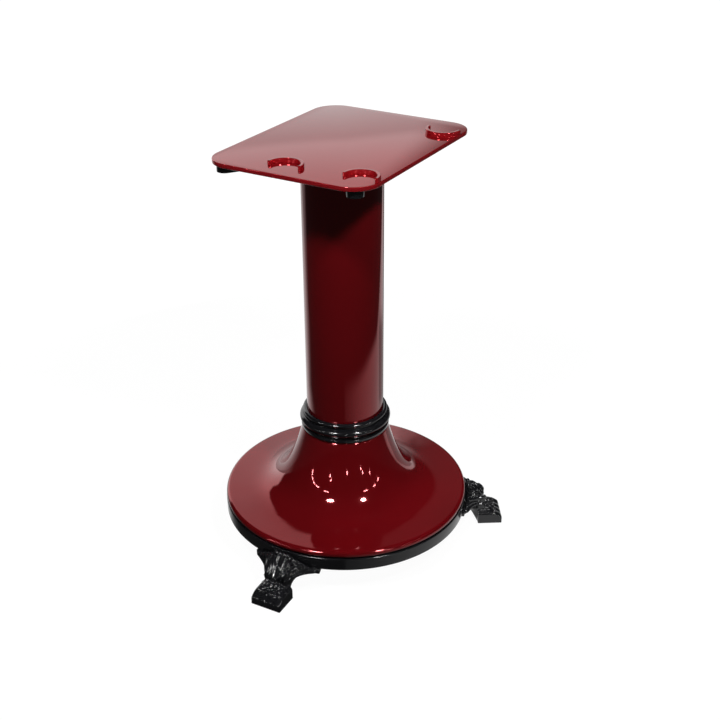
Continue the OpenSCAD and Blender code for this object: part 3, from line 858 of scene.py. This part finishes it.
def addLamp(name, lamp):
    light = bpy.data.lights.new(name, "AREA")
    light.shape = "ELLIPSE"
    light.size, light.size_y = lamp["size"]
    light.energy = lamp["light"] * math.pi ** 2 * lamp["far"] ** 2
    obj = newObject(name, light)
    middle = Vector((axisX, axisY, lamp["at"]))
    obj.location = middle + toward(lamp["turn"], lamp["rise"]) * lamp["far"]
    aim(obj, middle)
    obj.visible_glossy = lamp["seen"] == "gloss"
    obj.visible_diffuse = lamp["seen"] == "faces"


def addCamera(v):
    camera = bpy.data.cameras.new("camera")
    camera.lens = v["lens"]
    camera.sensor_width = v["sensor"]
    obj = newObject("camera", camera)
    obj.location = v["eye"]
    aim(obj, v["look"])
    roll = Matrix.Rotation(math.radians(v["roll"]), 4, "Z").to_quaternion()
    obj.rotation_quaternion = obj.rotation_quaternion @ roll
    bpy.context.scene.camera = obj
    bpy.context.scene.view_settings.view_transform = "Standard"


for i, lamp in enumerate(lamps):
    addLamp("lamp%d" % i, lamp)
addCamera(view)
print("camera and lamps set")


# What polished faces mirror: the studio, the floor and a lit arch

# In the room and the floor, a pair of numbers is where a thing sets in and where it is full.
# Bearings are in degrees to the right from straight behind the stand, as the camera stands
room = {
    "ambient": 0.03, "dark": 0.015, "wobble": 4.0, "wobbleScale": 9.0,
    # a pale wall, whose left edge leans from the height leanFrom on, and its right edge from rightLeanFrom
    "left": (-67, -63), "leftLean": 0.85, "leanFrom": 16.0, "top": (46.5, 43.5),
    "right": (9.5, 4.5), "rightLean": -0.25, "rightLeanFrom": 19.0,
    # its glow, more at the left, less high up and less in a low stretch at the right
    "glow": 1.3, "leftGlow": 0.65, "leftAt": (-10, -35), "highFade": 0.3, "highAt": (28, 45),
    "lowFade": 0.28, "lowAt": (17.8, 14.6), "lowRightOf": (-20, -12),
    # a dim wall to the right of it, brighter low down
    "sideGlow": 0.14, "sideFrom": (5, 9), "sideTo": (20, 14),
    "lowSideGlow": 0.35, "lowSideAt": (20, 8), "lowSideTo": (17, 11),
}
floor = {
    "size": 9.0, "grey": 0.8, "roughness": 0.9,
    # a pale patch: widening behind the stand, with its left edge leaning near the stand
    "dark": 0.05, "glow": 0.85, "left": (-72, -40), "right": (205, 100), "edge": (0.93, 0.79),
    "middle": 0.25, "widen": 0.45, "near": 0.6, "lean": 110,
    # two darker stretches on the right behind, from one bearing to the other, soft by so many degrees
    "shade": 0.9, "soft": (6, 8), "bandFrom": (0.42, 0.55), "bandTo": (1.15, 0.9),
    "band": (30, 56), "bandShade": 0.7, "gap": (8, 25),
    # far behind on the left the light runs on to the wall
    "farGlow": 0.45, "farLeft": (-66, -50), "farRight": (-8, -26), "farFrom": (0.7, 1.0),
    # what the camera sees: white, but for a faint shadow near the stand
    "white": 1.05, "shadow": 0.08, "whiteFrom": (0.75, 1.25),
}
arch = {
    # small lights far in front: turn and rise in degrees from the camera, sizes in degrees across.
    # A dash is long at the top of the arch, and would be nothing at the end
    "turn": 70, "rise": 29, "dashes": (-80, -70, -60, -50, -31, 32, 52, 67), "long": 10.0, "end": 120,
    "thick": 0.6, "bulbs": ((-31, 10), (-29, 13.5), (3, 9), (32, 6), (35.5, 8), (50, 7)),
    "bulb": (1.65, 1.1), "step": 2, "far": 8, "centreZ": 0.15, "glow": 70,
}


def facing(tree, place):
    # right, back and up as the camera stands, and the bearing
    turn = addNode(tree, "ShaderNodeVectorRotate", rotation_type="Z_AXIS")
    turn.inputs["Angle"].default_value = -math.radians(view["turn"])
    tree.links.new(place, turn.inputs["Vector"])
    split = addNode(tree, "ShaderNodeSeparateXYZ")
    tree.links.new(turn.outputs["Vector"], split.inputs[0])
    right, back, up = split.outputs["X"], split.outputs["Y"], split.outputs["Z"]
    bearing = times(tree, mathNode(tree, "ARCTAN2", right, back), 180 / math.pi)
    return right, back, up, bearing


def radius(tree, x, y):
    return mathNode(tree, "SQRT", plus(tree, times(tree, x, x), times(tree, y, y)))


def rays(tree):
    # 1 for rays from the camera, and 1 for rays that a polished face mirrors
    ray = addNode(tree, "ShaderNodeLightPath")
    mirrored = mathNode(tree, "MAXIMUM", ray.outputs["Is Glossy Ray"], ray.outputs["Is Transmission Ray"])
    return ray.outputs["Is Camera Ray"], mirrored


def mixedShader(tree, share, first, second):
    mix = addNode(tree, "ShaderNodeMixShader")
    for socket, value in zip(mix.inputs, (share, first, second)):
        tree.links.new(value, socket)
    return mix.outputs["Shader"]


def roomGlow(tree, place):
    up, bearing = facing(tree, place)[2:]
    height = times(tree, mathNode(tree, "ARCSINE", up), 180 / math.pi)
    noise = noiseTexture(tree, room["wobbleScale"], detail=3.0, place=place)
    wobble = times(tree, minus(tree, noise, 0.5), 2 * room["wobble"])
    leaning = times(tree, mathNode(tree, "MAXIMUM", height, room["leanFrom"]), room["leftLean"])
    left = ramp(tree, plus(tree, minus(tree, bearing, leaning), wobble), *room["left"])
    top = ramp(tree, plus(tree, height, wobble), *room["top"])
    above = mathNode(tree, "MAXIMUM", minus(tree, height, room["rightLeanFrom"]), 0.0)
    rightward = minus(tree, bearing, times(tree, above, room["rightLean"]))
    wall = times(tree, left, ramp(tree, rightward, *room["right"]))
    strong = plus(tree, times(tree, ramp(tree, bearing, *room["leftAt"]), room["leftGlow"]), room["glow"])
    high = ramp(tree, height, *room["highAt"])
    low = times(tree, ramp(tree, height, *room["lowAt"]), ramp(tree, bearing, *room["lowRightOf"]))
    strong = times(tree, strong, dimmed(tree, high, room["highFade"]), dimmed(tree, low, room["lowFade"]))
    side = times(tree, ramp(tree, rightward, *room["sideFrom"]), ramp(tree, bearing, *room["sideTo"]))
    lowSide = times(tree, ramp(tree, height, *room["lowSideAt"]), ramp(tree, bearing, *room["lowSideTo"]),
                    room["lowSideGlow"])
    sideGlow = times(tree, side, plus(tree, lowSide, room["sideGlow"]))
    return plus(tree, times(tree, top, plus(tree, times(tree, wall, strong), sideGlow)), room["dark"])


def studioWorld():
    # the camera sees white, polished faces see the room, and other faces get a little light
    world = bpy.data.worlds.new("studio")
    bpy.context.scene.world = world
    world.use_nodes = True
    tree = world.node_tree
    tree.nodes.clear()
    place = addNode(tree, "ShaderNodeTexCoord").outputs["Generated"]
    lights = []
    for strength in (room["ambient"], roomGlow(tree, place), 1.0):
        light = addNode(tree, "ShaderNodeBackground")
        light.inputs["Color"].default_value = (1, 1, 1, 1)
        if isinstance(strength, float):
            light.inputs["Strength"].default_value = strength
        else:
            tree.links.new(strength, light.inputs["Strength"])
        lights.append(light.outputs["Background"])
    seen, mirrored = rays(tree)
    shown = mixedShader(tree, seen, mixedShader(tree, mirrored, *lights[:2]), lights[2])
    tree.links.new(shown, addNode(tree, "ShaderNodeOutputWorld").inputs["Surface"])


def floorPatch(tree, right, back, far, bearing):
    # how brightly polished faces see each place of the floor, above its dark level

    def stretch(reach, low, high):
        lowSoft, highSoft = floor["soft"]
        return times(tree, reach, ramp(tree, bearing, low, low + lowSoft),
                     ramp(tree, bearing, high + highSoft, high))

    past = minus(tree, back, floor["middle"])
    near, behind = mathNode(tree, "MINIMUM", past, 0.0), mathNode(tree, "MAXIMUM", past, 0.0)
    outside = minus(tree, radius(tree, right, near), times(tree, behind, floor["widen"]))
    inward = mathNode(tree, "MAXIMUM", minus(tree, floor["near"], far), 0.0)
    leaned = plus(tree, bearing, times(tree, inward, floor["lean"]))
    patch = times(tree, ramp(tree, leaned, *floor["left"]), ramp(tree, bearing, *floor["right"]),
                  ramp(tree, outside, *floor["edge"]), floor["glow"])
    reach = ramp(tree, far, *floor["bandFrom"])
    band = stretch(times(tree, reach, ramp(tree, far, *floor["bandTo"])), *floor["band"])
    shade = mathNode(tree, "MAXIMUM", times(tree, band, floor["bandShade"]), stretch(reach, *floor["gap"]))
    patch = times(tree, patch, dimmed(tree, shade, floor["shade"]))
    leftBack = times(tree, ramp(tree, bearing, *floor["farLeft"]), ramp(tree, bearing, *floor["farRight"]),
                     ramp(tree, far, *floor["farFrom"]), floor["farGlow"])
    return mathNode(tree, "MAXIMUM", patch, leftBack)


def paleFloor():
    s = floor["size"]
    mesh = bpy.data.meshes.new("floor")
    mesh.from_pydata([(-s, -s, 0), (s, -s, 0), (s, s, 0), (-s, s, 0)], [], [(0, 1, 2, 3)])
    obj = newObject("floor", mesh)
    material = bpy.data.materials.new("paleFloor")
    material.use_nodes = True
    tree = material.node_tree
    shader = tree.nodes["Principled BSDF"]
    shader.inputs["Base Color"].default_value = (floor["grey"], floor["grey"], floor["grey"], 1)
    shader.inputs["Roughness"].default_value = floor["roughness"]
    shift = addNode(tree, "ShaderNodeVectorMath", operation="SUBTRACT")
    shift.inputs[1].default_value = (axisX, axisY, 0)
    tree.links.new(addNode(tree, "ShaderNodeTexCoord").outputs["Object"], shift.inputs[0])
    right, back, _, bearing = facing(tree, shift.outputs["Vector"])
    far = radius(tree, right, back)
    sheen = plus(tree, floorPatch(tree, right, back, far, bearing), floor["dark"])
    seen, mirrored = rays(tree)
    glow = addNode(tree, "ShaderNodeEmission")
    tree.links.new(plus(tree, times(tree, mirrored, sheen), times(tree, seen, floor["white"])),
                   glow.inputs["Strength"])
    white = mathNode(tree, "MAXIMUM", 1 - floor["shadow"], ramp(tree, far, *floor["whiteFrom"]))
    share = mathNode(tree, "MAXIMUM", times(tree, seen, white), mirrored)
    shown = mixedShader(tree, share, shader.outputs["BSDF"], glow.outputs["Emission"])
    tree.links.new(shown, tree.nodes["Material Output"].inputs["Surface"])
    mesh.materials.append(material)
    obj.visible_diffuse = False


def litArch(a):
    # only polished faces see it
    bm = bmesh.new()
    middle = Vector((axisX, axisY, a["centreZ"]))

    def spot(turn, rise, along, length, width):
        centre = middle + toward(turn, rise) * a["far"]
        inward = (middle - centre).normalized()
        ahead = middle + toward(*along) * a["far"] - centre
        ahead = (ahead - inward * ahead.dot(inward)).normalized() * a["far"] * math.radians(length / 2)
        across = inward.cross(ahead).normalized() * a["far"] * math.radians(width / 2)
        corners = (-ahead - across, ahead - across, ahead + across, across - ahead)
        bm.faces.new([bm.verts.new(centre + corner) for corner in corners])

    def onArch(t):
        return a["turn"] * math.sin(math.radians(t)), a["rise"] * math.cos(math.radians(t))

    # dashes lie along the arch, and bulbs stand upright
    for t in a["dashes"]:
        spot(*onArch(t), onArch(t + a["step"]), a["long"] * (1 - abs(t) / a["end"]), a["thick"])
    for turn, rise in a["bulbs"]:
        spot(turn, rise, (turn, rise + a["step"]), *a["bulb"])
    obj = newPiece("litArch", bm)
    material = bpy.data.materials.new("archLight")
    material.use_nodes = True
    tree = material.node_tree
    tree.nodes.clear()
    glow = addNode(tree, "ShaderNodeEmission")
    glow.inputs["Strength"].default_value = a["glow"]
    tree.links.new(glow.outputs["Emission"], addNode(tree, "ShaderNodeOutputMaterial").inputs["Surface"])
    obj.data.materials.append(material)
    obj.visible_camera = obj.visible_diffuse = obj.visible_shadow = False


studioWorld()
paleFloor()
litArch(arch)
print("stage set")
